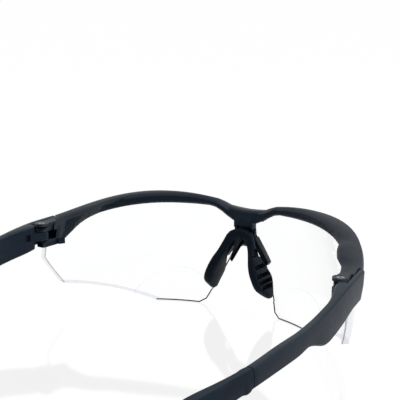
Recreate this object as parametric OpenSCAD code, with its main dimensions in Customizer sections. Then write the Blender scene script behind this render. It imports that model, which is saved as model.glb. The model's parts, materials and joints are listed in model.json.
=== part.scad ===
// Half-frame safety glasses with bifocal lenses, open, standing on the lens bottoms and temple tips.
// The wearer looks along -Y, so the wearer's left side is at +X. Lengths are millimetres.
// Heights are measured from the table. Depths are measured back from a datum plane just ahead of the lenses.

/* [Brow bar] */
// Half width of the curve that the brow bar's top edge follows, seen from above
bar_half_w = 68.6; // [66:0.2:72]
// Depth of that curve from its foremost point to its widest point
bar_wrap = 50.5; // [47:0.5:54]
// Depth of the curve's foremost point behind the datum
bar_set = 3; // [2.6:0.1:3.6]
// How far the curve bulges outwards at each brow's bend
bar_bulge = 2.2; // [1.6:0.1:2.4]
// Height of the highest point of each brow
brow_top = 44; // [43:0.5:46]
// Distance of that highest point from the middle
brow_crest_x = 30; // [26:1:34]
// How far the top edge comes down from there to the hinge
brow_end_drop = 9.6; // [8.6:0.1:10.4]
// Height of the bar over the lens at the brow's highest point
brow_h = 4.2; // [3.8:0.1:5]
// How far the lower edge comes down in an arc towards the end piece
brow_arch_drop = 5.4; // [4.8:0.2:6.4]
// How far the end piece flares down beyond that arc
end_flare = 3.8; // [2.6:0.2:5]
// Height of the end piece where it ends
end_h = 8.4; // [8:0.1:9]
// Thickness of the bar behind the curve at the end piece
end_t = 6.8; // [6.2:0.2:7.6]
// Extra thickness of the end piece just ahead of its neck
end_boss = 1.6; // [0.8:0.2:2]
// How much thinner the end piece is along its lower edge
end_draft = 1.2; // [0.6:0.2:1.4]
// Plastic in front of and behind the lens in its groove
groove_wall = 0.8; // [0.6:0.1:1.2]
// Height of lens held in the groove
groove_depth = 2; // [1.5:0.25:2.5]

/* [Bridge] */
// How far the bridge's top edge lies below the brows
bridge_drop = 4.2; // [3.4:0.1:5]
// Height of the bridge
bridge_h = 5.2; // [4.6:0.1:5.6]
// Half width of the flat stretch of the bridge
bridge_half_w = 3; // [2:0.5:4]
// Half width at which the bridge steps up to the brows
bridge_step_x = 8; // [7:0.5:9]
// Thickness of the bridge behind the curve
bridge_t = 3.2; // [2.8:0.1:3.6]

/* [Lenses] */
// Radius of the lens's middle surface, which is part of a sphere
lens_r = 64.6; // [62:0.2:67]
// Thickness of the lens
lens_t = 2; // [1.6:0.1:2.2]
// Distance of the sphere's centre from the middle plane
lens_centre_x = 4; // [3:0.5:5]
// Height of the sphere's centre
lens_centre_z = 24.8; // [23:0.2:27]
// Depth of the sphere's foremost point behind the datum
lens_front = 1; // [0.8:0.1:1.2]
// Where the flat lower edge of the lens begins, measured from the middle
lens_flat_from = 18.4; // [18:0.2:20]
// Where that flat edge ends
lens_flat_to = 34.8; // [32:0.2:38]
// How far the outer lower corner lies inside the bar's widest point
lens_corner_in = 6.6; // [6:0.2:8.4]
// Height of that corner
lens_corner_z = 9.3; // [8:0.1:11]
// How far that corner lies ahead of the hinge screw
lens_corner_ahead = 8.8; // [7.2:0.2:10]
// Height of the corner in the lens's rear edge
lens_side_z = 20; // [18:0.5:21]
// Half width of the gap between the lenses at the bridge
nasal_top_x = 3.2; // [3.1:0.1:3.4]
// Half width of that gap where it begins to widen
nasal_neck_x = 3.5; // [3.4:0.1:3.8]
// Half width of that gap halfway down
nasal_mid_x = 7.5; // [7.2:0.1:7.8]
// Half width of that gap near its foot
nasal_low_x = 13.9; // [13.5:0.1:14.3]

/* [Reading segments] */
// Radius of the moulded reading segment
segment_r = 16; // [13:0.5:18]
// Distance of the segment's centre from the middle plane
segment_x = 28; // [26:0.5:31]
// Height of the segment's top line
segment_top = 13; // [11:0.5:15]
// How far the segment stands off the inner face of the lens
segment_step = 0.35; // [0.2:0.05:0.5]

/* [Hinges] */
// Distance of the hinge screw inside the bar's widest point
pin_in = 4.6; // [4.2:0.1:5]
// Distance of the hinge screw ahead of the bar's widest point
pin_ahead = 2.3; // [1.8:0.1:2.7]
// Height of the upper hinge leg's top face above the end of the bar's top edge
hinge_rise = 0.5; // [0.1:0.1:0.8]
// Height of the upper hinge leg
leg_h = 3.2; // [2.8:0.1:3.5]
// Height of the temple's middle leg
mid_leg_h = 3.3; // [2.9:0.1:3.7]
// Height of the lower hinge leg
low_leg_h = 2.7; // [2.3:0.1:3]
// Running gap above and below the middle leg
leg_gap = 0.15; // [0.1:0.05:0.25]
// Radius of the hinge legs
leg_r = 2.7; // [2.5:0.1:2.8]
// Radius of the screw's shank
screw_r = 0.75; // [0.6:0.05:0.9]
// Radius of the screw's head
screw_head_r = 1.35; // [1.2:0.05:1.6]
// Height of the screw's head
screw_head_h = 0.9; // [0.7:0.1:1.1]
// Radial clearance round the screw
screw_gap = 0.05; // [0.03:0.01:0.08]

/* [Temples] */
// Length of the temple from the hinge screw to its tip
temple_l = 120; // [112:1:130]
// Distance of the temple's widest point outside the bar's
temple_wider = 3; // [2.6:0.1:3.6]
// Distance of that widest point behind the hinge screw
temple_far_back = 36.8; // [34:0.4:40]
// Radius of the temple's sideways bow
temple_bow_r = 283; // [270:1:300]
// Thickness of the flange that covers the end piece
flange_t = 2.1; // [1.9:0.1:2.3]
// Thickness of the temple arm
arm_t = 2.8; // [2.4:0.1:3.2]
// Extra thickness of the hinge block inside the temple
block_t = 3; // [2.6:0.1:3.3]
// Gap between the temple and the frame all round the joint
joint_gap = 0.3; // [0.25:0.05:0.4]
// How far the tip sleeve stands proud of the arm
sleeve_t = 0.5; // [0.3:0.1:0.7]
// How far the arm's tongue is set in under the sleeve
tongue_in = 0.8; // [0.6:0.1:0.9]

/* [Nose piece] */
// Depth of the nose bracket's rear face behind the datum
bracket_back = 5.6; // [5.2:0.1:5.8]
// Depth of the nose bracket's front face behind the datum
bracket_front = 1.2; // [1:0.1:1.6]
// Distance of the bracket's arch below the bridge
arch_below = 9.4; // [9:0.2:10.2]
// Distance of the bracket's prong ends below the bridge
prong_below = 16.4; // [15.8:0.2:17]
// Half width of the bracket's neck between the lenses
neck_w = 2.2; // [2:0.1:2.8]
// Half width of the neck behind the lenses
neck_back_w = 4.3; // [4:0.1:4.6]
// Depth at which the bracket's wings end, behind the lenses
wing_back = 4.9; // [4.6:0.1:5.1]
// Width of each prong
prong_w = 1.1; // [0.9:0.1:1.4]
// Depth of each prong
prong_depth = 1.6; // [1.4:0.1:2]
// How far the prongs lean towards each other for each millimetre of depth
prong_lean = 0.6; // [0.4:0.1:0.7]
// Distance of the rubber saddle's arch below the bridge
saddle_below = 3.7; // [3.4:0.1:4]
// Half height of the saddle's arch
saddle_half_h = 2; // [1.8:0.1:2.2]
// Greatest depth of the rubber pads
pad_depth = 10; // [9:0.5:11]
// Half the distance between the feet of the pads
pad_foot_x = 13; // [12.6:0.1:13.4]
// Half thickness of the rubber pads
pad_half_t = 1.55; // [1.3:0.05:1.7]
// Thickness of the ribs in the hollow side of each pad
rib_t = 0.8; // [0.6:0.1:1]
// Distance from each rib to the next
rib_pitch = 2.5; // [2.3:0.1:2.7]
// Number of hollows between the ribs
rib_gaps = 4; // [3:1:4]

/* [Hidden] */
$fn = 64;

// Room for a cut to pass right through
past = 20;
// Clearance between the lens and its groove
lens_gap = 0.1;
// Depth at which the bracket's wings begin
wing_front = 2.2;
// Depth at which the wider part of the neck begins, behind the lenses
neck_front = 3.7;
// Width of the step from the bridge up to the brow, and how far its foot and its head lie above the bridge
step_w = 4.5;
step_low_rise = 0.6;
step_high_rise = 2.6;
// Angles along the bar between which it bulges
bulge_from = 10;
bulge_to = 72;
// Angles along the bar at which its arch, its flare and its thick end begin, and where the bar ends
arch_from = 25;
arch_span = 37;
flare_from = 60;
thick_from = 40;
neck_from = 65;
bar_end = 81;
// Least stand-off of the bar's front face from its top edge
face_min = 0.5;
// Distance from the screw to the lower leg's flat outer and rear sides
low_leg_back = 1.3;
// Distance from the screw to the front end of the window beside the temple's leg
window_ahead = 5.6;
// Corner cuts of the bar's section, and the larger one below the end piece's outer face
bar_cut = 0.8;
end_cut = 2.4;

lens_centre_y = lens_front + lens_r;
brow_low = brow_top - brow_h;
bridge_top = brow_top - bridge_drop;
bridge_low = bridge_top - bridge_h;
end_low = brow_top - brow_end_drop - end_h;
pin_x = bar_half_w - pin_in;
pin_y = bar_set + bar_wrap - pin_ahead;
temple_far_x = bar_half_w + temple_wider;
temple_far_y = pin_y + temple_far_back;
lens_corner_x = bar_half_w - lens_corner_in;
lens_corner_y = pin_y - lens_corner_ahead;
bracket_arch = bridge_low - arch_below;
bracket_low = bridge_low - prong_below;
saddle_arch = bridge_low - saddle_below;

hinge_top = brow_top - brow_end_drop + hinge_rise;
leg_top_z = hinge_top - leg_h;
mid_top_z = leg_top_z - leg_gap;
mid_low_z = mid_top_z - mid_leg_h;
leg_low_z = mid_low_z - leg_gap;
screw_low_z = leg_low_z - low_leg_h;

// Heights at which the nasal edge of the lens turns, with its distance from the middle
nasal_rows = [
    [0.18 * bridge_low, nasal_low_x], [0.58 * bridge_low, nasal_mid_x],
    [0.84 * bridge_low, nasal_neck_x], [bridge_low, nasal_top_x]
];

// Depth of the frontmost and rearmost points, so that the origin lies midway
front_y = lens_centre_y - sqrt(sq(lens_r + lens_t / 2) - sq(nasal_edge(lens_centre_z) - lens_centre_x));
rear_y = pin_y + temple_l + 0.2;
mid_y = (front_y + rear_y) / 2;

function sq(v) = v * v;
function smooth(v) = let (u = min(1, max(0, v))) u * u * (3 - 2 * u);
function mix(a, b, t) = a + (b - a) * t;
function knot(p, i) = p[min(len(p) - 1, max(0, i))];

// Value at station s of a smooth curve through the rows of p
function curve_at(p, s) =
    let (i = min(len(p) - 2, max(0, floor(s))), t = s - i)
    let (a = knot(p, i - 1), b = knot(p, i), c = knot(p, i + 1), d = knot(p, i + 2))
    0.5 * (2 * b + (c - a) * t + (2 * a - 5 * b + 4 * c - d) * t * t + (3 * b - a - 3 * c + d) * t * t * t);

// Distance of the lens's nasal edge from the middle at height z
function nasal_edge(z) = lookup(z, nasal_rows);

// The bar's curve seen from above, at angle t, and the direction inwards from it
function bar_at(t) =
    let (bend = min(1, max(0, (abs(t) - bulge_from) / (bulge_to - bulge_from))))
    [bar_half_w * sin(t), bar_set + bar_wrap * (1 - cos(t))] - bar_bulge * sq(sin(180 * bend)) * inward(t);
function inward(t) = let (v = [-bar_wrap * sin(t), bar_half_w * cos(t)]) v / norm(v);

// How far the lens's middle surface lies inside the bar's curve, at angle t and height z
function lens_in(t, z) =
    let (d = bar_at(t) - [lens_centre_x, lens_centre_y], dn = d * inward(t))
    -dn - sqrt(max(0, dn * dn - d * d + lens_r * lens_r - sq(z - lens_centre_z)));

// Height of the bar's top edge at distance x from the middle
function bar_top(x) =
    let (step_end = bridge_step_x + step_w)
    x < bridge_step_x ? bridge_top + step_low_rise * sq(x / bridge_step_x) :
    x < step_end ? bridge_top + mix(step_low_rise, step_high_rise, (x - bridge_step_x) / step_w) :
    x < brow_crest_x ? mix(brow_top, bridge_top + step_high_rise, sq((brow_crest_x - x) / (brow_crest_x - step_end))) :
    brow_top - brow_end_drop * pow((x - brow_crest_x) / (bar_half_w - brow_crest_x), 2.4);

// Height of the bar's lower edge at angle t
function bar_low(t) =
    let (x = bar_half_w * sin(t))
    let (rise = smooth((x - bridge_half_w) / 13))
    let (arch = brow_arch_drop * sq(max(0, t - arch_from) / arch_span))
    max(end_low, mix(bridge_low, brow_low, rise) - arch - end_flare * smooth((t - flare_from) / 16));

// Section of the bar at angle t, which is negative on the wearer's right
function bar_ring(t) =
    let (u = abs(t), zt = bar_top(bar_half_w * sin(u)), zb = bar_low(u), ins = lens_in(u, zb + 1))
    let (front = min(-face_min, ins - lens_t / 2 - groove_wall))
    let (boss = end_boss * smooth((u - thick_from - 8) / 10) * (1 - smooth((u - neck_from) / 7)))
    let (least = mix(mix(bridge_t, 2.2, smooth(u / 12)), end_t, smooth((u - thick_from) / 22)))
    let (draft = end_draft * smooth((u - flare_from) / 8))
    let (held = ins + lens_t / 2 + groove_wall, rear = max(least + boss, held), c = bar_cut)
    let (low_rear = max(least - draft, held))
    let (low_cut = mix(bar_cut, end_cut, smooth((u - flare_from + 4) / 14)))
    [for (q = [
        [front + low_cut, zb], [front, zb + 1.4 * low_cut], [front, zt - 1.6 * c], [front + c, zt - 0.3 * c], [0, zt],
        [rear - 1.4 * c, zt - 0.3 * c], [rear, zt - 1.6 * c], [low_rear, zb + c], [low_rear - c, zb]
    ]) let (p = bar_at(t) + q[0] * inward(t)) [p[0], p[1], q[1]]];

// Closed solid through rings that all have the same number of points
module loft(rings) {
    n = len(rings[0]);
    m = len(rings);
    walls = [for (j = [0:m - 2], k = [0:n - 1])
        let (a = j * n + k, b = j * n + (k + 1) % n) each [[a, b, b + n], [a, b + n, a + n]]];
    ends = [[for (k = [n - 1:-1:0]) k], [for (k = [0:n - 1]) (m - 1) * n + k]];
    polyhedron(points = [for (r = rings) each r], faces = concat(walls, ends), convexity = 6);
}

// Puts the datum frame at the part's own origin
module placed() {
    translate([0, -mid_y, 0]) children();
}

// Extrudes an outline that is drawn in x and z straight back through the part
module from_front(depth_from, depth_to) {
    translate([0, depth_to, 0]) rotate([90, 0, 0]) linear_extrude(depth_to - depth_from) children();
}

// Extrudes an outline that is drawn in depth and height sideways
module from_side(x_from, x_to) {
    translate([x_from, 0, 0]) rotate([90, 0, 90]) linear_extrude(x_to - x_from) children();
}

// Outline of the left lens seen from the front, with its top edge raised by grow
module lens_outline(grow) {
    wide = bar_half_w + 4;
    top = [for (t = [bar_end:-3:9])
        let (z = bar_low(t) + groove_depth, p = bar_at(t) + lens_in(t, z) * inward(t)) [p[0], z + grow]];
    polygon(concat([
        [15.9, 1.6], [lens_flat_from, 0], [lens_flat_to, 0],
        [wide, lens_corner_z * (wide - lens_flat_to) / (lens_corner_x - lens_flat_to)], [wide, end_low + 2]
    ], top, [[bar_half_w * sin(6), bar_low(6) - 0.2]], [for (i = [3:-1:0]) [nasal_rows[i][1], nasal_rows[i][0]]]));
}

// Rear edge of the lens seen from the side: below the end piece, and within its groove above that
module lens_side_outline(grow) {
    behind = pin_y - 11 + grow;
    under = end_low - 0.2 + grow;
    polygon([
        [-past, -past], [lens_corner_y, -past], [lens_corner_y, lens_corner_z], [pin_y - 2.6, lens_side_z],
        [pin_y - 3.6, under], [behind, under], [behind, brow_top + past], [-past, brow_top + past]
    ]);
}

// Ball about the lens's centre
module lens_ball(r) {
    translate([lens_centre_x, lens_centre_y, lens_centre_z]) sphere(r, $fn = 160);
}

// Left lens, or with a clearance the space that it takes up
module lens_body(grow) {
    intersection() {
        difference() {
            lens_ball(lens_r + lens_t / 2 + grow);
            lens_ball(lens_r - lens_t / 2 - grow);
        }
        from_front(-past, lens_centre_y) lens_outline(grow);
        from_side(0, bar_half_w + past) lens_side_outline(grow);
    }
}

// Reading segment, raised on the inner face of the left lens
module reading_segment() {
    inner = lens_r - lens_t / 2;
    intersection() {
        difference() {
            lens_ball(inner + lens_t / 4);
            lens_ball(inner - segment_step);
        }
        from_front(-past, lens_centre_y / 2) translate([segment_x, segment_top - segment_r]) circle(segment_r);
        from_front(-past, lens_centre_y / 2) lens_outline(0);
    }
}

module lens() {
    color([0.86, 0.93, 0.97, 0.45]) {
        lens_body(0);
        reading_segment();
    }
}

// Outer face of the temple at depth y
function temple_out(y) = temple_far_x - sq(y - temple_far_y) / (2 * temple_bow_r);

// Plan of the space outside the end piece, in which the temple's flange lies
module flange_room() {
    ahead = pin_y - 14;
    behind = pin_y + 8;
    intersection() {
        translate([0, 0, end_low - past]) linear_extrude(3 * past) polygon(concat(
            [for (y = [ahead:2:behind]) [temple_out(y) - flange_t - joint_gap, y]],
            [[bar_half_w + past, behind], [bar_half_w + past, ahead]]));
        from_side(pin_x - past, bar_half_w + past) polygon([
            flange_front(past) - [joint_gap, 0], flange_front(-past) - [joint_gap, 0],
            [pin_y + past, -past], [pin_y + past, hinge_top + past]
        ]);
    }
}

// Point on the flange's sloping front edge, at height h above the hinge's top face
function flange_front(h) = [pin_y - 10 + (0.6 - h) * 0.4, hinge_top + h];

// Hinge leg that belongs to the frame, in plan, about the screw
module frame_leg_plan(r) {
    circle(r);
    polygon([[-r, 0], [r - 0.2, 0], [0.7 * r, -3], [0.6 * r, -7], [-0.8 * leg_r, -7]]);
}

// Small foot under the inner face of the end piece, in plan
foot_h = 0.4;
module foot_plan() {
    polygon([[-0.2, 0.6], [1.6, 0], [2.4, 2.6], [0.8, 2.8]]);
}

// Left end piece: hinge legs, the slot for the temple's leg, and the screw's bore
module end_piece_legs() {
    cap_h = leg_h / 3;
    translate([pin_x, pin_y, hinge_top - cap_h]) cylinder(h = cap_h, r = leg_r);
    translate([pin_x, pin_y, leg_top_z]) linear_extrude(leg_h) frame_leg_plan(leg_r - 0.5);
    translate([pin_x, pin_y, screw_low_z]) linear_extrude(low_leg_h) intersection() {
        frame_leg_plan(leg_r - 0.7);
        translate([low_leg_back - past, low_leg_back - past]) square(past);
    }
    translate([pin_x - 4.2, pin_y - 9, end_low - foot_h]) linear_extrude(2) foot_plan();
}

module end_piece_cuts() {
    slot_h = mid_leg_h + 2 * leg_gap;
    translate([pin_x - past, pin_y - leg_r - joint_gap, leg_low_z]) cube([2 * past, past, slot_h]);
    translate([pin_x - past + 0.3, pin_y - window_ahead, leg_low_z]) cube([past, window_ahead, slot_h]);
    translate([pin_x, pin_y, screw_low_z - 1]) cylinder(h = past, r = screw_r + screw_gap, $fn = 48);
    translate([pin_x, pin_y, hinge_top - screw_head_h - screw_gap])
        cylinder(h = past, r = screw_head_r + screw_gap, $fn = 48);
    flange_room();
}

module both_sides() {
    children();
    mirror([1, 0, 0]) children();
}

// Neck below the bridge, with a recess above the saddle's arch
neck_low = saddle_arch;
recess_w = 3.1;
recess_in = 0.9;
module frame_neck() {
    rear = bar_set + bridge_t;
    from_front(bar_set, bracket_back) polygon([
        [-bridge_half_w, bridge_low + 1], [-neck_w, bridge_low], [-neck_w, neck_low],
        [neck_w, neck_low], [neck_w, bridge_low], [bridge_half_w, bridge_low + 1]
    ]);
    difference() {
        translate([-neck_back_w, neck_front, neck_low])
            cube([2 * neck_back_w, bracket_back - neck_front, bridge_low - neck_low + 1]);
        translate([-recess_w, bracket_back - recess_in, neck_low - 1])
            cube([2 * recess_w, past, bridge_low - neck_low]);
    }
    from_front(bracket_back - 0.5, rear) polygon([
        [-neck_back_w, bridge_low + 1], [-neck_back_w, neck_low + 1.8], [-recess_w, neck_low + 1.8],
        [-recess_w, bridge_low - 1], [recess_w, bridge_low - 1], [recess_w, neck_low + 1.8],
        [neck_back_w, neck_low + 1.8], [neck_back_w, bridge_low + 1]
    ]);
}

module frame_front() {
    color([0.19, 0.22, 0.25]) placed() difference() {
        union() {
            frame_neck();
            loft([for (t = [-bar_end:2.25:bar_end]) bar_ring(t)]);
            both_sides() end_piece_legs();
        }
        both_sides() {
            end_piece_cuts();
            lens_body(lens_gap);
        }
    }
}

// Height of the bracket's shoulders, where its wings begin
shoulder_z = bridge_low - 5.3;
// Size of the cut along the lower rear edges of the bracket
arch_cut = 0.9;

// Arch and prongs of the bracket at depth y, with the inner edges set back by cut
function bracket_ring(y, cut) =
    let (foot = nasal_edge(bracket_low), lean = prong_lean * (y - bracket_front))
    let (arch_x = nasal_edge(bracket_arch) - 2 * prong_w)
    let (half = [
        [neck_w, neck_low], [neck_w, shoulder_z + 0.7], [nasal_neck_x + 0.6 - 0.3 * lean, shoulder_z - 0.5],
        [foot + prong_w / 2 - lean, bracket_low + 0.7], [foot - prong_w / 2 - lean + 0.3 * cut, bracket_low],
        [arch_x - 0.5 * lean + 0.7 * cut, bracket_arch - 0.6 + cut], [arch_x - 1 - 0.5 * lean, bracket_arch + cut]
    ])
    [for (p = concat(half, [for (i = [len(half) - 1:-1:0]) [-half[i][0], half[i][1]]])) [p[0], y, p[1]]];

// Left wing of the bracket, which lies behind the lens's nasal edge
module wing_outline() {
    tip_z = bracket_low + 0.7;
    tip_x = nasal_edge(tip_z) + 2;
    root_z = bracket_arch - 1;
    polygon([
        [nasal_neck_x - 1, shoulder_z - 2], [nasal_neck_x + 1.2, shoulder_z], [tip_x + 0.8, tip_z + 1.2],
        [tip_x, tip_z], [tip_x - 1.6, tip_z + 1], [nasal_edge(root_z), root_z]
    ]);
}

module nose_bracket() {
    color([0.28, 0.3, 0.33]) placed() difference() {
        union() {
            difference() {
                loft([bracket_ring(bracket_back, arch_cut), bracket_ring(bracket_back - arch_cut, 0),
                    bracket_ring(bracket_front, 0)]);
                translate([-past, bracket_back - prong_depth - past, 0])
                    cube([2 * past, past, bracket_arch - arch_cut]);
            }
            translate([-neck_back_w, neck_front, shoulder_z - 0.8])
                cube([2 * neck_back_w, bracket_back - neck_front - recess_in, neck_low - shoulder_z + 0.8]);
            both_sides() from_front(wing_front, wing_back) wing_outline();
        }
        both_sides() {
            lens_body(lens_gap);
            from_front(wing_back - 0.4, past) offset(delta = -0.5) wing_outline();
        }
    }
}

// Sections of the rubber saddle, from the middle of its arch down to a pad's foot. In parts of the
// pads' greatest width, height and depth: x and height of the centre, foremost and rearmost depth.
// Then the half thickness
saddle_shape = [
    [0, 1, 0.01, 0.36, saddle_half_h],
    [0.262, 0.971, 0.05, 0.41, saddle_half_h * 0.95],
    [0.415, 0.873, 0.23, 0.49, pad_half_t],
    [0.531, 0.757, 0.2, 0.7, pad_half_t],
    [0.61, 0.68, 0.06, 0.87, pad_half_t * 1.1],
    [0.705, 0.58, -0.08, 0.99, pad_half_t * 1.2],
    [0.8, 0.485, -0.2, 1, pad_half_t * 1.27],
    [0.86, 0.418, -0.18, 0.96, pad_half_t * 1.27],
    [0.915, 0.352, -0.1, 0.83, pad_half_t * 1.2],
    [0.98, 0.258, -0.01, 0.42, pad_half_t * 0.9],
    [1, 0.224, 0.06, 0.25, pad_half_t * 0.4]
];
saddle_rows = [for (r = saddle_shape) [
    r[0] * pad_foot_x, r[1] * saddle_arch,
    bracket_back + r[2] * pad_depth, bracket_back + r[3] * pad_depth, r[4]
]];

// Ring of the saddle at station s, negative on the wearer's right
function saddle_ring(s) =
    let (r = curve_at(saddle_rows, abs(s)), a = curve_at(saddle_rows, abs(s) - 0.05))
    let (b = curve_at(saddle_rows, abs(s) + 0.05), side = s < 0 ? -1 : 1)
    let (tx = abs(s) < 0.06 ? 1 : b[0] - a[0], tz = abs(s) < 0.06 ? 0 : b[1] - a[1], n = norm([tx, tz]))
    let (across = [-tz / n, tx / n], cy = (r[2] + r[3]) / 2, half = (r[3] - r[2]) / 2)
    [for (k = [13:-1:0])
        let (g = 360 * k / 14 + 90, cg = cos(g), sg = sin(g))
        let (square = sg > 0 ? 0.5 : 0.7)
        let (v = sign(cg) * pow(abs(cg), square) * half, w = sign(sg) * pow(abs(sg), square) * r[4])
        [side * (r[0] + across[0] * w), cy + v, r[1] + across[1] * w]];

// Hollows between the ribs on the outer side of the left pad
module pad_hollows() {
    top = curve_at(saddle_rows, pad_from);
    foot = curve_at(saddle_rows, pad_to);
    lean = atan2(foot[0] - top[0], top[1] - foot[1]);
    for (i = [0:rib_gaps - 1]) {
        s = mix(pad_from, pad_to, (i + 0.5) / rib_gaps);
        r = curve_at(saddle_rows, s);
        translate([r[0], r[2] + pad_rim, r[1]]) rotate([0, -lean, 0])
            translate([-0.2 * pad_half_t, 0, (rib_t - rib_pitch) / 2])
            cube([past, r[3] - r[2] - 2 * pad_rim, rib_pitch - rib_t]);
    }
}

// Relief in the front of the saddle's left leg, beside the bracket
module leg_relief() {
    low = 0.74 * saddle_arch;
    translate([0, 0, low]) linear_extrude(0.11 * saddle_arch) polygon([
        [0.3 * pad_foot_x, bracket_back], [0.38 * pad_foot_x, bracket_back + 0.12 * pad_depth],
        [0.62 * pad_foot_x, bracket_back + 0.67 * pad_depth], [pad_foot_x, bracket_back + 0.67 * pad_depth],
        [pad_foot_x, bracket_back - 1], [0.3 * pad_foot_x, bracket_back - 1]
    ]);
}

// Stations between which a pad has its ribs, and the width of the rim round them
pad_from = 4.1;
pad_to = 8.2;
pad_rim = 1.2;

module nose_saddle() {
    last = len(saddle_rows) - 1;
    color([0.1, 0.11, 0.13]) placed() difference() {
        loft([for (s = [-last:1 / 3:last]) saddle_ring(s)]);
        both_sides() {
            pad_hollows();
            leg_relief();
        }
    }
}

module hinge_screw() {
    recess_r = screw_head_r * 0.45;
    color([0.72, 0.74, 0.76]) placed() translate([pin_x, pin_y, 0]) difference() {
        union() {
            translate([0, 0, screw_low_z + 0.1]) cylinder(h = hinge_top - screw_low_z - 0.2, r = screw_r, $fn = 48);
            translate([0, 0, hinge_top - screw_head_h]) cylinder(h = screw_head_h - 0.1, r = screw_head_r, $fn = 48);
        }
        for (turn = [0, 90]) rotate(turn) translate([-recess_r, -0.18, hinge_top - 0.55])
            cube([2 * recess_r, 0.36, 1]);
    }
}

// Sections of the temple, front part measured from the screw and the hinge's top face:
// depth and height of the top edge, then of the lower edge
temple_front_rows = [
    [-10, 0.6, -6.2, -8.9],
    [-4.5, 0.2, -2, -9.3],
    [1.5, -0.3, 2, -9.8],
    [9, -1.4, 9, -11.7],
    [17, -2.9, 17, -13.6],
    [22.5, -3.9, 23.3, -14.3],
    [29.5, -5.1, 33.3, -11.6],
    [38, -6, 41, -12.6],
    [50, -6.7, 52, -13.5],
    [62, -8.2, 62, -14.5],
    [75, -9.5, 74, -15.7]
];
// Ear hook, measured from the tip and the table
temple_tip_rows = [
    [-33, 24.1, -36, 17.6],
    [-22, 21.4, -27, 14.2],
    [-12.5, 16, -18.5, 9],
    [-5, 9, -11, 3],
    [-0.2, 3.6, -5, 0.3]
];
temple_rows = concat(
    [for (r = temple_front_rows) [pin_y + r[0], hinge_top + r[1], pin_y + r[2], hinge_top + r[3]]],
    [for (r = temple_tip_rows) [pin_y + temple_l + r[0], r[1], pin_y + temple_l + r[2], r[3]]]);
temple_last = len(temple_rows) - 1;
// Stations where the hinge block begins and ends, where the sleeve begins and where the tongue ends
block_from = 2.24;
block_to = 4;
sleeve_from = 9.1;
tongue_to = 12.6;

// Distance from the screw to the recess behind the root of the temple's leg
leg_root = 5.2;

function temple_t(s) =
    s < block_from ? flange_t :
    mix(flange_t + block_t, arm_t, smooth((s - block_from) / (block_to - block_from))) +
    (s > sleeve_from ? 0.6 * smooth((s - sleeve_from) / 3) : 0);

// Ring of the temple at station s, shrunk by inset on every side
function temple_ring(s, inset) =
    let (r = curve_at(temple_rows, s), top = [r[0], r[1]], low = [r[2], r[3]])
    let (h = norm(top - low), e = (top - low) / h, t = temple_t(s), c = 0.6)
    let (u0 = inset, u1 = t - inset, v0 = inset, v1 = h - inset)
    [for (q = [
        [u1, v0 + c], [u1 - c, v0], [u0 + c, v0], [u0, v0 + c], [u0 - 0.25, (v0 + v1) / 2],
        [u0, v1 - c], [u0 + c, v1], [u1 - c, v1], [u1, v1 - c]
    ]) let (p = low + e * q[1]) [temple_out(p[0]) - q[0], p[0], p[1]]];

// Loft of the temple between two stations
module temple_loft(from, to, inset) {
    steps = ceil((to - from) * 4);
    loft([for (i = [0:steps]) temple_ring(mix(from, to, i / steps), inset)]);
}

module temple_solid() {
    loft(concat(
        [for (i = [0:8]) temple_ring(mix(0, block_from - 0.01, i / 8), 0)],
        [for (i = [0:36]) temple_ring(mix(block_from, sleeve_from, i / 36), 0)]));
    temple_loft(sleeve_from - 0.1, tongue_to, tongue_in);
    translate([pin_x, pin_y, mid_low_z]) linear_extrude(mid_leg_h) {
        circle(leg_r - 0.1);
        polygon([[-leg_r + 0.1, 0], [leg_r - 0.1, 0], [3.6, 4.8], [0.8, 4.8], [-leg_r + 0.6, 1.8]]);
    }
}

module temple() {
    color([0.2, 0.23, 0.26]) placed() difference() {
        temple_solid();
        for (z = [mid_top_z, mid_low_z - past]) translate([pin_x, pin_y, z])
            cylinder(h = past, r = leg_r + joint_gap);
        translate([pin_x, pin_y, mid_low_z - 1]) cylinder(h = mid_leg_h + 2, r = screw_r + screw_gap, $fn = 48);
        block_in = temple_out(pin_y + leg_root) - flange_t - block_t;
        translate([block_in - past, pin_y + leg_root, mid_low_z + 0.2]) cube([past + 1.4, 2.2, mid_leg_h - 0.6]);
    }
}

// Part of the sleeve's length that its bead takes up, and how far the bead stands proud
bead_to = 0.06;
bead_h = 0.35;

// Ring of the sleeve, which begins flush with the arm and with a bead, at part u of its length
function sleeve_ring(u) =
    let (bead = bead_h * sq(sin(180 * min(1, u / bead_to))))
    temple_ring(mix(sleeve_from + 0.02, temple_last, u), -sleeve_t * smooth(u * 3) - bead);

module tip_sleeve() {
    color([0.1, 0.11, 0.12]) placed() difference() {
        loft(concat(
            [for (i = [0:7]) let (u = bead_to * i / 8) sleeve_ring(u)],
            [for (i = [0:30]) let (u = mix(bead_to, 1, i / 30)) sleeve_ring(u)],
            [temple_ring(temple_last + 0.16, 0.4)]));
        temple_loft(sleeve_from - 0.05, tongue_to + 0.03, tongue_in - 0.06);
    }
}

frame_front();
placed() lens();  // lens_left
placed() mirror([1, 0, 0]) lens();  // lens_right
nose_bracket();
nose_saddle();
hinge_screw();  // hinge_screw_left
mirror([1, 0, 0]) hinge_screw();  // hinge_screw_right
temple();  // temple_left
mirror([1, 0, 0]) temple();  // temple_right
tip_sleeve();  // tip_sleeve_left
mirror([1, 0, 0]) tip_sleeve();  // tip_sleeve_right
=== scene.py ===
"""Clear safety glasses with moulded reading segments: the looks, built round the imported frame."""
import json
import math

import bmesh
import bpy
from bpy.props import FloatProperty, FloatVectorProperty, PointerProperty
from mathutils import Matrix, Quaternion, Vector

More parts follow.
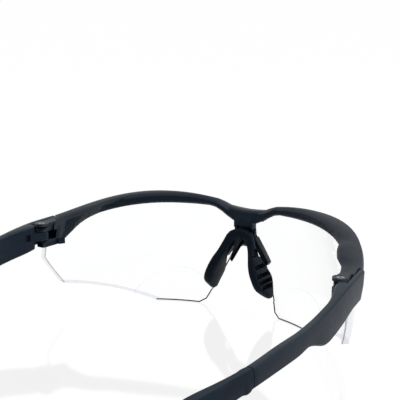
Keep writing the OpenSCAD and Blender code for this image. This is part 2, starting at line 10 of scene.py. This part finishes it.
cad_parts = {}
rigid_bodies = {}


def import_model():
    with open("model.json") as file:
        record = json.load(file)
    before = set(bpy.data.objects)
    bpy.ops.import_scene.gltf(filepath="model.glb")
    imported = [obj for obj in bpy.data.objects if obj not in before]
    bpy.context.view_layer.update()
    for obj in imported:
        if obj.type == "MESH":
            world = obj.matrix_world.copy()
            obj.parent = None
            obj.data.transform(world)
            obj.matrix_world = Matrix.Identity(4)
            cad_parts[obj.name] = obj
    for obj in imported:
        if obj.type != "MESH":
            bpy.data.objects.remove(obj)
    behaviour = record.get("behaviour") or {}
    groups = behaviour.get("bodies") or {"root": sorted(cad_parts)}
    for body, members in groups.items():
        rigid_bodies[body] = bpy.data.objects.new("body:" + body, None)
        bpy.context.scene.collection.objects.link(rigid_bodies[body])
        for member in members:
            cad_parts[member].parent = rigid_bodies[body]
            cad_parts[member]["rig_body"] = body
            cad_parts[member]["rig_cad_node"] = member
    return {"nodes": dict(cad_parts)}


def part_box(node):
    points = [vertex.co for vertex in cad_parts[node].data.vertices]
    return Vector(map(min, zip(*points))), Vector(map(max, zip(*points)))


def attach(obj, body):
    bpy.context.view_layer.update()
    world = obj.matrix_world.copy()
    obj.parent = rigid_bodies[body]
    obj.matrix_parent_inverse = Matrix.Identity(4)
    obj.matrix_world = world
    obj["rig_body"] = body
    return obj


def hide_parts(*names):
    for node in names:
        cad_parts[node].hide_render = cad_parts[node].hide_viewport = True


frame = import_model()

bl_info = {
    "name": "Bifocal safety glasses",
    "version": (1, 0, 0),
    "blender": (4, 5, 0),
    "location": "View3D > Sidebar > Glasses",
    "description": "Builds the front, lenses, nose piece, temples and tip sleeves of safety glasses",
    "category": "Add Mesh",
}

MM = 0.001
# Sides of the wearer, with the sign of their x
SIDES = {"left": 1, "right": -1}
# Doubled points of a CAD node's mesh lie closer than this, and a flat face turns by fewer degrees than this
MERGE_DISTANCE = 0.001 * MM
FLAT_ANGLE = 0.3
# Centre of the left lens's spherical surfaces, its depth measured from the screws, and the inner radius
LENS_CENTRE = (4 * MM, 14.4 * MM, 24.8 * MM)
LENS_INNER_R = 63.6 * MM
# Material slots of a lens: its surfaces, its rim and the step round its reading segment
CLEAR, RIM, STEP = range(3)
# A lens's side face is one whose normal has less than this share along the radius
SIDE_SHARE = 0.8
# How far the segment's step and the rim's inner edge may lie outside the inner radius
STEP_REACH = 0.2 * MM
EDGE_REACH = 0.4 * MM
# Distance from the middle over which the cover of the lens's edge, partly painted refraction shade, changes
# towards the temples
EDGE_FADE = (38 * MM, 56 * MM)
# Bead round the solid sleeve's front end: the rings that it spans, its height, and its length at BEAD_LOW.
# Above that height its rings lean back and lie further apart.
BEAD_RINGS = 8
BEAD_HEIGHT = 0.35 * MM
BEAD_LENGTH = 4.3 * MM
BEAD_LOW = 20.3 * MM
BEAD_LEAN = 0.026
BEAD_SPREAD = 0.05
# The bead stays where the surface's normal points down by more than this
BEAD_KEPT_BELOW = -0.3
# Middle of the sleeve's section there: distance from the glasses' middle, and height
SLEEVE_MIDDLE = (69.0 * MM, 23.2 * MM)
# Tint of the plastic's and the rubber's sheen
SHEEN_TINT = (0.82, 0.93, 1.0, 1.0)
WHITE = (1, 1, 1, 1)
# Floor: size, drop below the tips, paint, level and share of the white it shows, and its mirror's share
FLOOR_SIZE = 60
FLOOR_DROP = 0.02 * MM
FLOOR_PAINT = (0.86, 0.86, 0.87, 1)
FLOOR_WHITE = 1.04
FLOOR_SHOWN = 0.925
FLOOR_MIRROR = 0.13
# Share of the floor's white that gloss shows towards the front, and the depths between which that ends
FLOOR_GLOSS = 0.9
FLOOR_GLOSS_FADE = (-0.16, 0.0)
# Level of the room's light, and the side that gloss shows dimmer: its direction, and how that sets in
ROOM_LIGHT = 0.45
DIM_SIDE = (-0.2, 0.97, 0.1)
DIM_FADE = (-0.2, 0.6)
# Lamp above: its place, the point that it faces, and its size
KEY_PLACE = (-0.2, -0.25, 0.7)
KEY_TARGET = (0, -0.02, 0)
KEY_SIZE = 0.6
# Point that the camera looks at, its depth measured from the screws
CAMERA_TARGET = (11 * MM, -31.2 * MM, 45 * MM)
# The sensor's width in millimetres, and the nearest and furthest distance that the camera sees
SENSOR_WIDTH = 36
CAMERA_CLIP = (0.01, 60)


def finish_colour(label, default):
    return FloatVectorProperty(
        name=label, description="Base colour of the " + label.lower(), subtype="COLOR",
        size=3, min=0, max=1, default=default)


def length(label, words, default):
    return FloatProperty(name=label, description=words, subtype="DISTANCE", unit="LENGTH", default=default)


def angle(label, words, degrees):
    return FloatProperty(
        name=label, description=words, subtype="ANGLE", unit="ROTATION", default=math.radians(degrees))


class GlassesFinish(bpy.types.PropertyGroup):
    """Colours and surface grades of the glasses"""

    frame_colour: finish_colour("Front moulding", (0.005, 0.011, 0.021))
    temple_colour: finish_colour("Temples", (0.009, 0.017, 0.031))
    bracket_colour: finish_colour("Nose bracket", (0.004, 0.008, 0.014))
    saddle_colour: finish_colour("Nose saddle", (0.004, 0.008, 0.015))
    sleeve_colour: finish_colour("Tip sleeves", (0.013, 0.022, 0.036))
    lens_colour: finish_colour("Lenses", (0.998, 0.999, 1.0))
    # Cover of the rims and segment steps: partly the sheet's own blue tint, partly painted refraction
    rim_tint_and_painted_refraction_colour: finish_colour("Lens rims", (0.30, 0.34, 0.62))
    # Colour of the painted shade line along each lens's inner edge, standing for the dark line that
    # refraction and inner reflection draw there
    painted_shade_line_colour: finish_colour("Lens edge lines", (0.020, 0.024, 0.036))
    screw_colour: finish_colour("Screws", (0.30, 0.31, 0.33))
    grain_depth: length("Grain depth", "Depth of the moulded grain", 0.012 * MM)
    front_bevel: length("Front's widest bevel", "Upper limit of the front's bevels", 0.1 * MM)
    temple_bevel: length("Temple's widest bevel", "Upper limit of the temples' bevels", 0.34 * MM)
    # The edge line is a bead of painted refraction shade
    line_radius: length("Lens edge line", "Radius of the bead along each lens's inner edge", 0.25 * MM)


class GlassesView(bpy.types.PropertyGroup):
    """Camera and light"""

    lens: FloatProperty(
        name="Focal length", description="Focal length of the camera", unit="CAMERA", default=89.46)
    azimuth: angle("Azimuth", "Direction of the camera, from the front round by the wearer's left", 214.1)
    elevation: angle("Elevation", "Angle of the camera above the floor", 12.2)
    roll: angle("Roll", "Turn of the camera about its axis", 0.2)
    distance: length("Distance", "Distance of the camera from its target", 379 * MM)
    key_power: FloatProperty(
        name="Key lamp", description="Power of the lamp above", unit="POWER", default=2.6)


# Shader maths


class Value:
    """A shader socket that can be used in Python expressions"""

    def __init__(self, shader, socket):
        self.shader = shader
        self.socket = socket

    def _math(self, operation, *values):
        return self.shader.node("ShaderNodeMath", {"operation": operation}, values)

    def __add__(self, other):
        return self._math("ADD", self, other)

    __radd__ = __add__

    def __mul__(self, other):
        return self._math("MULTIPLY", self, other)

    __rmul__ = __mul__

    def __sub__(self, other):
        return self._math("SUBTRACT", self, other)

    def __rsub__(self, other):
        return self._math("SUBTRACT", other, self)

    def smooth_step(self, low, high):
        """0 below low, 1 above high, and a soft rise from one to the other"""
        kind = {"interpolation_type": "SMOOTHSTEP"}
        return self.shader.node("ShaderNodeMapRange", kind, (self, low, high))

    def absolute(self):
        return self._math("ABSOLUTE", self)

    def maximum(self, other):
        return self._math("MAXIMUM", self, other)

    def power(self, other):
        return self._math("POWER", self, other)


class Shader:
    """Builds one material's or the world's node tree"""

    def __init__(self, owner):
        owner.use_nodes = True
        self.tree = owner.node_tree
        self.tree.nodes.clear()

    def node(self, kind, settings=None, inputs=(), output=0):
        """Adds a node: its settings, then its inputs' values or links, by name or in order"""
        made = self.tree.nodes.new(kind)
        for key, value in (settings or {}).items():
            setattr(made, key, value)
        pairs = inputs.items() if isinstance(inputs, dict) else enumerate(inputs)
        for key, value in pairs:
            if isinstance(value, Value):
                self.tree.links.new(value.socket, made.inputs[key])
            elif value is not None:
                made.inputs[key].default_value = value
        return Value(self, made.outputs[output]) if len(made.outputs) else made

    def noise(self, vector, scale, detail=3.0, roughness=0.55):
        return self.node("ShaderNodeTexNoise", {}, {
            "Vector": vector, "Scale": scale, "Detail": detail, "Roughness": roughness})

    def mix_colour(self, factor, first, second):
        """Mixes two colours: a Mix node's colour sockets are inputs 6 and 7 and output 2"""
        made = self.tree.nodes.new("ShaderNodeMix")
        made.data_type = "RGBA"
        for key, value in ((0, factor), (6, first), (7, second)):
            if isinstance(value, Value):
                self.tree.links.new(value.socket, made.inputs[key])
            else:
                made.inputs[key].default_value = value
        return Value(self, made.outputs[2])

    def place(self):
        return self.node("ShaderNodeTexCoord", {}, (), "Object")

    def along(self, axis):
        """The place's distance along one of the object's axes"""
        return self.node("ShaderNodeSeparateXYZ", {}, (self.place(),), axis)

    def geometry(self, output):
        return self.node("ShaderNodeNewGeometry", {}, (), output)

    def is_ray(self, kind):
        return self.node("ShaderNodeLightPath", {}, (), f"Is {kind} Ray")

    def shown_rays(self, gloss):
        """1 for camera rays, also through the lenses, and the share gloss for gloss rays"""
        seen = self.is_ray("Camera").maximum(self.is_ray("Transmission"))
        return seen.maximum(self.is_ray("Glossy") * gloss)

    def mix(self, share, first, second):
        return self.node("ShaderNodeMixShader", {}, (share, first, second))

    def surface(self, value):
        self.node("ShaderNodeOutputMaterial", {}, {"Surface": value})


def rgba(colour, level=1.0):
    return (*(min(1.0, part * level) for part in colour), 1.0)


def new_material(name):
    material = bpy.data.materials.new(name)
    return material, Shader(material)


def moulded_plastic(name, colour, grain_depth, rough=0.42):
    """Matte moulded plastic: a fine spark-eroded grain, with faint flow marks and handling shine"""
    material, shader = new_material(name)
    place = shader.place()
    grain = shader.noise(place, 5200.0, detail=2.0)
    flow = shader.noise(place, 90.0, detail=4.0)
    smear = shader.noise(place, 260.0, roughness=0.65)
    tone = shader.mix_colour(flow * 0.6 + grain * 0.4, rgba(colour, 0.7), rgba(colour, 1.3))
    bump = shader.node("ShaderNodeBump", {}, {
        "Strength": 0.55, "Distance": grain_depth, "Height": grain + 0.25 * smear})
    shader.surface(shader.node("ShaderNodeBsdfPrincipled", {}, {
        "Base Color": tone, "Roughness": rough - 0.07 + 0.14 * smear, "IOR": 1.5,
        "Specular IOR Level": 0.2, "Specular Tint": SHEEN_TINT, "Normal": bump}))
    return material


def soft_rubber(name, colour, grain_depth):
    """Soft rubber: near black, with a dull sheen and fine mould texture"""
    material, shader = new_material(name)
    place = shader.place()
    grain = shader.noise(place, 3800.0)
    cloud = shader.noise(place, 150.0)
    tone = shader.mix_colour(cloud, rgba(colour, 0.6), rgba(colour, 1.4))
    bump = shader.node("ShaderNodeBump", {}, {
        "Strength": 0.5, "Distance": grain_depth, "Height": grain})
    shader.surface(shader.node("ShaderNodeBsdfPrincipled", {}, {
        "Base Color": tone, "Roughness": 0.44 + 0.16 * cloud, "IOR": 1.48,
        "Specular IOR Level": 0.1, "Specular Tint": SHEEN_TINT, "Normal": bump}))
    return material


def plated_steel(name, colour):
    """Plated screw steel: fine marks and small specks"""
    material, shader = new_material(name)
    place = shader.place()
    specks = shader.noise(place, 2600.0)
    turned = shader.noise(place, 7000.0, detail=1.0)
    tone = shader.mix_colour(specks, rgba(colour, 0.4), rgba(colour, 1.6))
    bump = shader.node("ShaderNodeBump", {}, {
        "Strength": 0.4, "Distance": 0.02 * MM, "Height": specks + turned * 0.4})
    shader.surface(shader.node("ShaderNodeBsdfPrincipled", {}, {
        "Base Color": tone, "Metallic": 1.0, "Roughness": 0.24 + 0.2 * specks, "Normal": bump}))
    return material


def clear_lens(name, colour):
    """Clear hard-coated sheet: what lies behind shows through, under the sheen of its coat"""
    material, shader = new_material(name)
    place = shader.place()
    wipe = shader.noise(place, 700.0)
    through = shader.mix_colour(wipe, rgba(colour), rgba(colour, 0.994))
    clear = shader.node("ShaderNodeBsdfTransparent", {}, (through,))
    flat = shader.geometry("True Normal")
    coat = shader.node("ShaderNodeBsdfAnisotropic", {}, {
        "Color": (0.98, 0.985, 1.0, 1.0), "Roughness": 0.03 + 0.02 * wipe, "Normal": flat})
    turned_away = shader.node("ShaderNodeLayerWeight", {}, {"Normal": flat}, "Facing")
    glance = 0.014 + 0.97 * turned_away.power(5.0)
    share = glance * (1 - shader.is_ray("Shadow")) * (1 - shader.geometry("Backfacing"))
    shader.surface(shader.mix(share, clear, coat))
    return material


def edge_cover_with_painted_refraction(name, colour, cover, outer=1.0):
    """Polished edge of the sheet under a cover of its tint and painted refraction shade, whose cover is
    multiplied by outer towards the temples
    """
    material, shader = new_material(name)
    place = shader.place()
    cloud = shader.noise(place, 420.0)
    tone = shader.mix_colour(cloud, rgba(colour, 0.8), rgba(colour, 1.2))
    clear = shader.node("ShaderNodeBsdfTransparent", {}, (WHITE,))
    body = shader.node("ShaderNodeBsdfPrincipled", {}, {
        "Base Color": tone, "Roughness": 0.2 + 0.1 * cloud, "Specular IOR Level": 0.1})
    fade = 1 - (1 - outer) * shader.along("X").absolute().smooth_step(*EDGE_FADE)
    shader.surface(shader.mix(cover * fade * (0.8 + 0.4 * cloud), clear, body))
    return material


# Modelling helpers


def deselect():
    if bpy.context.mode != "OBJECT":
        bpy.ops.object.mode_set(mode="OBJECT")
    bpy.ops.object.select_all(action="DESELECT")


def make_active(piece):
    deselect()
    piece.select_set(True)
    bpy.context.view_layer.objects.active = piece


def soften_edges(piece, widest, sharper_than):
    """Softens the shading at edges that turn by more than an angle in degrees, with a bevel

    Short edges beside it hold the bevel to far less than its widest: the surface moves by under 0.002 mm.
    """
    make_active(piece)
    modifier = piece.modifiers.new("Bevel", "BEVEL")
    modifier.width = widest
    modifier.segments = 2
    modifier.limit_method = "ANGLE"
    modifier.angle_limit = math.radians(sharper_than)
    modifier.harden_normals = False
    bpy.ops.object.modifier_apply(modifier=modifier.name)


def merged_copy(node, name):
    """Copy of a CAD node as one closed mesh, with its flat faces whole"""
    make_active(frame["nodes"][node])
    bpy.ops.object.duplicate(linked=False)
    piece = bpy.context.view_layer.objects.active
    bpy.ops.object.parent_clear(type="CLEAR_KEEP_TRANSFORM")
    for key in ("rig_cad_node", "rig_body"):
        del piece[key]
    piece.name = name
    piece.data.name = name
    bpy.ops.object.mode_set(mode="EDIT")
    bpy.ops.mesh.select_all(action="SELECT")
    bpy.ops.mesh.remove_doubles(threshold=MERGE_DISTANCE)
    bpy.ops.mesh.dissolve_limited(angle_limit=math.radians(FLAT_ANGLE))
    bpy.ops.object.mode_set(mode="OBJECT")
    return piece


def smooth(piece, degrees=32):
    make_active(piece)
    bpy.ops.object.shade_smooth_by_angle(angle=math.radians(degrees))


def set_finishes(piece, *materials):
    piece.data.materials.clear()
    for material in materials:
        piece.data.materials.append(material)


def place_in_frame(piece, body, node):
    """Gives a finished piece its body and hides the CAD node that it stands for"""
    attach(piece, body)
    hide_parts(node)


def dress(piece, material, body, node):
    set_finishes(piece, material)
    place_in_frame(piece, body, node)


def finish():
    return bpy.context.scene.glasses_finish


def pin_middle():
    """Middle of the left hinge screw"""
    low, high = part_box("hinge_screw_left")
    return (low + high) / 2


# Operators, one for each piece or group of like pieces


class GLASSES_OT_front(bpy.types.Operator):
    """Builds the front moulding: brow bar, bridge and end pieces"""

    bl_idname = "glasses.front"
    bl_label = "Front moulding"

    def execute(self, context):
        piece = merged_copy("frame_front", "brow_bar")
        soften_edges(piece, finish().front_bevel, sharper_than=50)
        smooth(piece, degrees=38)
        material = moulded_plastic("charcoal_front", finish().frame_colour, finish().grain_depth)
        dress(piece, material, "front", "frame_front")
        return {"FINISHED"}


class GLASSES_OT_lenses(bpy.types.Operator):
    """Builds both lenses with their reading segments"""

    bl_idname = "glasses.lenses"
    bl_label = "Lenses"

    def sort_faces(self, piece, centre):
        """Tells the rim and the segment's step from the spherical surfaces by their normals"""
        for face in piece.data.polygons:
            out = face.center - centre
            if abs(face.normal.dot(out.normalized())) < SIDE_SHARE:
                face.material_index = RIM if out.length > LENS_INNER_R + STEP_REACH else STEP

    def add_painted_shade_line(self, piece, centre, material):
        """Runs a thin dark bead along the lens's inner edge, painted shade for the line that refraction
        draws there, raised by its radius to stay above the floor
        """
        make_active(piece)
        bpy.ops.object.mode_set(mode="EDIT")
        bpy.ops.mesh.select_mode(type="EDGE")
        bpy.ops.mesh.select_all(action="DESELECT")
        mesh = bmesh.from_edit_mesh(piece.data)
        for edge in mesh.edges:
            kinds = {face.material_index for face in edge.link_faces}
            middle = (edge.verts[0].co + edge.verts[1].co) / 2
            edge.select_set(kinds == {CLEAR, RIM} and (middle - centre).length < LENS_INNER_R + EDGE_REACH)
        if not any(edge.select for edge in mesh.edges):
            raise RuntimeError("no inner edge was found on " + piece.name)
        bmesh.update_edit_mesh(piece.data)
        bpy.ops.mesh.duplicate()
        bpy.ops.transform.translate(value=(0, 0, finish().line_radius))
        bpy.ops.mesh.separate(type="SELECTED")
        bpy.ops.object.mode_set(mode="OBJECT")
        line = next(made for made in bpy.context.selected_objects if made != piece)
        make_active(line)
        bpy.ops.object.convert(target="CURVE")
        line.data.bevel_depth = finish().line_radius
        line.data.bevel_resolution = 1
        line.data.use_fill_caps = True
        set_finishes(line, material)
        bpy.ops.object.convert(target="MESH")
        piece.select_set(True)
        bpy.context.view_layer.objects.active = piece
        bpy.ops.object.join()

    def execute(self, context):
        finishes = (
            clear_lens("clear_polycarbonate", finish().lens_colour),
            # The rim's cover grows towards the temples and the step's stays even: partly the sheet's tint,
            # partly painted refraction
            edge_cover_with_painted_refraction("rim_tint_and_painted_refraction", finish().rim_tint_and_painted_refraction_colour, cover=0.05, outer=3.4),
            edge_cover_with_painted_refraction("segment_step", finish().rim_tint_and_painted_refraction_colour, cover=0.2))
        # Near-black bead along each lens's inner edge: painted shade for the dark line that refraction and
        # inner reflection draw there
        line = edge_cover_with_painted_refraction("painted_refraction_shade_line", finish().painted_shade_line_colour, cover=0.85, outer=0.32)
        for side, sign in SIDES.items():
            piece = merged_copy("lens_" + side, "clear_lens_" + side)
            set_finishes(piece, *finishes)
            centre = Vector((sign * LENS_CENTRE[0], pin_middle().y + LENS_CENTRE[1], LENS_CENTRE[2]))
            self.sort_faces(piece, centre)
            self.add_painted_shade_line(piece, centre, line)
            smooth(piece, degrees=25)
            place_in_frame(piece, "front", "lens_" + side)
        return {"FINISHED"}


class GLASSES_OT_bracket(bpy.types.Operator):
    """Builds the stiff nose bracket"""

    bl_idname = "glasses.bracket"
    bl_label = "Nose bracket"

    def execute(self, context):
        piece = merged_copy("nose_bracket", "bracket")
        smooth(piece)
        material = moulded_plastic(
            "charcoal_bracket", finish().bracket_colour, finish().grain_depth, rough=0.4)
        dress(piece, material, "front", "nose_bracket")
        return {"FINISHED"}


class GLASSES_OT_saddle(bpy.types.Operator):
    """Builds the rubber nose saddle"""

    bl_idname = "glasses.saddle"
    bl_label = "Nose saddle"

    def execute(self, context):
        piece = merged_copy("nose_saddle", "saddle")
        smooth(piece, degrees=60)
        material = soft_rubber("black_rubber", finish().saddle_colour, finish().grain_depth)
        dress(piece, material, "front", "nose_saddle")
        return {"FINISHED"}


class GLASSES_OT_screws(bpy.types.Operator):
    """Builds both hinge screws"""

    bl_idname = "glasses.screws"
    bl_label = "Hinge screws"

    def execute(self, context):
        material = plated_steel("plated_screw", finish().screw_colour)
        for side in SIDES:
            piece = merged_copy("hinge_screw_" + side, "screw_" + side)
            smooth(piece)
            dress(piece, material, "front", "hinge_screw_" + side)
        return {"FINISHED"}


class GLASSES_OT_temples(bpy.types.Operator):
    """Builds both folding temples"""

    bl_idname = "glasses.temples"
    bl_label = "Temples"

    def execute(self, context):
        material = moulded_plastic("charcoal_temple", finish().temple_colour, finish().grain_depth)
        for side in SIDES:
            piece = merged_copy("temple_" + side, "arm_" + side)
            soften_edges(piece, finish().temple_bevel, sharper_than=38)
            smooth(piece)
            dress(piece, material, side + "_arm", "temple_" + side)
        return {"FINISHED"}


class GLASSES_OT_sleeves(bpy.types.Operator):
    """Builds both soft tip sleeves"""

    bl_idname = "glasses.sleeves"
    bl_label = "Tip sleeves"

    def lower_bead(self, piece, sign, front):
        """Keeps the bead round the sleeve's front end on its lower side alone"""
        make_active(piece)
        bpy.ops.object.mode_set(mode="EDIT")
        for ring in range(1, BEAD_RINGS):
            bpy.ops.mesh.select_mode(type="VERT")
            bpy.ops.mesh.select_all(action="DESELECT")
            mesh = bmesh.from_edit_mesh(piece.data)
            for vertex in mesh.verts:
                place, normal = vertex.co, vertex.normal
                lift = place.z - BEAD_LOW
                along = (place.y - front - BEAD_LEAN * lift) / (BEAD_LENGTH + BEAD_SPREAD * lift)
                on_ring = abs(along * BEAD_RINGS - ring) < 0.5
                across = place.x - sign * SLEEVE_MIDDLE[0]
                outer = normal.x * across + normal.z * (place.z - SLEEVE_MIDDLE[1]) > 0
                vertex.select_set(on_ring and outer and normal.z > BEAD_KEPT_BELOW)
            if not any(vertex.select for vertex in mesh.verts):
                raise RuntimeError("a ring of the bead is missing on " + piece.name)
            bmesh.update_edit_mesh(piece.data)
            height = BEAD_HEIGHT * math.sin(math.pi * ring / BEAD_RINGS) ** 2
            bpy.ops.transform.shrink_fatten(value=-height)
        bpy.ops.object.mode_set(mode="OBJECT")

    def execute(self, context):
        material = soft_rubber("sleeve_rubber", finish().sleeve_colour, finish().grain_depth)
        for side, sign in SIDES.items():
            piece = merged_copy("tip_sleeve_" + side, "sleeve_" + side)
            self.lower_bead(piece, sign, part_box("tip_sleeve_" + side)[0].y)
            smooth(piece)
            dress(piece, material, side + "_arm", "tip_sleeve_" + side)
        return {"FINISHED"}


class GLASSES_OT_stage(bpy.types.Operator):
    """Builds the floor, the lamp, the world and the camera"""

    bl_idname = "glasses.stage"
    bl_label = "Floor, light and camera"

    def floor(self):
        deselect()
        bpy.ops.mesh.primitive_plane_add(size=FLOOR_SIZE, location=(0, 0, -FLOOR_DROP))
        floor = bpy.context.view_layer.objects.active
        floor.name = "floor"
        material, shader = new_material("glossy_white_floor")
        behind = shader.along("Y").smooth_step(*FLOOR_GLOSS_FADE)
        shown = shader.shown_rays(FLOOR_GLOSS - FLOOR_GLOSS * behind)
        paint = shader.node("ShaderNodeBsdfDiffuse", {}, (FLOOR_PAINT,))
        white = shader.node("ShaderNodeEmission", {}, (WHITE, FLOOR_WHITE))
        mirror = shader.node("ShaderNodeBsdfAnisotropic", {}, {"Color": WHITE, "Roughness": 0.06})
        base = shader.mix(shown * FLOOR_SHOWN, paint, white)
        shader.surface(shader.mix(shader.is_ray("Camera") * FLOOR_MIRROR, base, mirror))
        set_finishes(floor, material)

    def world(self):
        world = bpy.data.worlds.new("white_room")
        bpy.context.scene.world = world
        shader = Shader(world)
        ray = shader.node("ShaderNodeTexCoord", {}, (), "Generated")
        turned = shader.node("ShaderNodeVectorMath", {"operation": "DOT_PRODUCT"}, (ray, DIM_SIDE), "Value")
        shown = shader.shown_rays(1 - turned.smooth_step(*DIM_FADE))
        background = shader.node("ShaderNodeBackground", {}, {
            "Color": WHITE, "Strength": ROOM_LIGHT + (1 - ROOM_LIGHT) * shown})
        shader.node("ShaderNodeOutputWorld", {}, {"Surface": background})

    def key_lamp(self):
        deselect()
        bpy.ops.object.light_add(type="AREA", location=KEY_PLACE)
        lamp = bpy.context.view_layer.objects.active
        lamp.name = "key_lamp"
        lamp.data.size = KEY_SIZE
        lamp.data.energy = bpy.context.scene.glasses_view.key_power
        lamp.rotation_mode = "QUATERNION"
        lamp.rotation_quaternion = (Vector(KEY_TARGET) - Vector(KEY_PLACE)).to_track_quat("-Z", "Y")

    def camera(self):
        view = bpy.context.scene.glasses_view
        level = math.cos(view.elevation)
        back = Vector((math.sin(view.azimuth) * level, -math.cos(view.azimuth) * level,
                       math.sin(view.elevation)))
        right = (-back).cross(Vector((0, 0, 1))).normalized()
        right.rotate(Quaternion(back, view.roll))
        target = Vector(CAMERA_TARGET) + Vector((0, pin_middle().y, 0))
        deselect()
        bpy.ops.object.camera_add()
        camera = bpy.context.view_layer.objects.active
        camera.name = "photo_camera"
        turn = Matrix((right, back.cross(right), back)).transposed().to_4x4()
        camera.matrix_world = Matrix.Translation(target + back * view.distance) @ turn
        camera.data.sensor_width = SENSOR_WIDTH
        camera.data.lens = view.lens
        camera.data.clip_start, camera.data.clip_end = CAMERA_CLIP
        bpy.context.scene.camera = camera

    def execute(self, context):
        self.floor()
        self.world()
        self.key_lamp()
        self.camera()
        context.scene.view_settings.view_transform = "Standard"
        return {"FINISHED"}


class GLASSES_PT_panel(bpy.types.Panel):
    """Lists the glasses' operators and settings"""

    bl_label = "Safety glasses"
    bl_idname = "GLASSES_PT_panel"
    bl_space_type = "VIEW_3D"
    bl_region_type = "UI"
    bl_category = "Glasses"

    def draw(self, context):
        for operator in OPERATORS:
            self.layout.operator(operator.bl_idname)
        for group in (context.scene.glasses_finish, context.scene.glasses_view):
            for key in group.bl_rna.properties.keys():
                if key not in ("rna_type", "name"):
                    self.layout.prop(group, key)


OPERATORS = (
    GLASSES_OT_front, GLASSES_OT_lenses, GLASSES_OT_bracket, GLASSES_OT_saddle, GLASSES_OT_screws,
    GLASSES_OT_temples, GLASSES_OT_sleeves, GLASSES_OT_stage)
CLASSES = (GlassesFinish, GlassesView, *OPERATORS, GLASSES_PT_panel)


def register():
    for cls in CLASSES:
        bpy.utils.register_class(cls)
    bpy.types.Scene.glasses_finish = PointerProperty(type=GlassesFinish)
    bpy.types.Scene.glasses_view = PointerProperty(type=GlassesView)


def unregister():
    del bpy.types.Scene.glasses_view
    del bpy.types.Scene.glasses_finish
    for cls in reversed(CLASSES):
        bpy.utils.unregister_class(cls)


def main():
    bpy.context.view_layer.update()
    register()
    for operator in OPERATORS:
        group, name = operator.bl_idname.split(".")
        getattr(getattr(bpy.ops, group), name)()


if __name__ == "__main__":
    main()
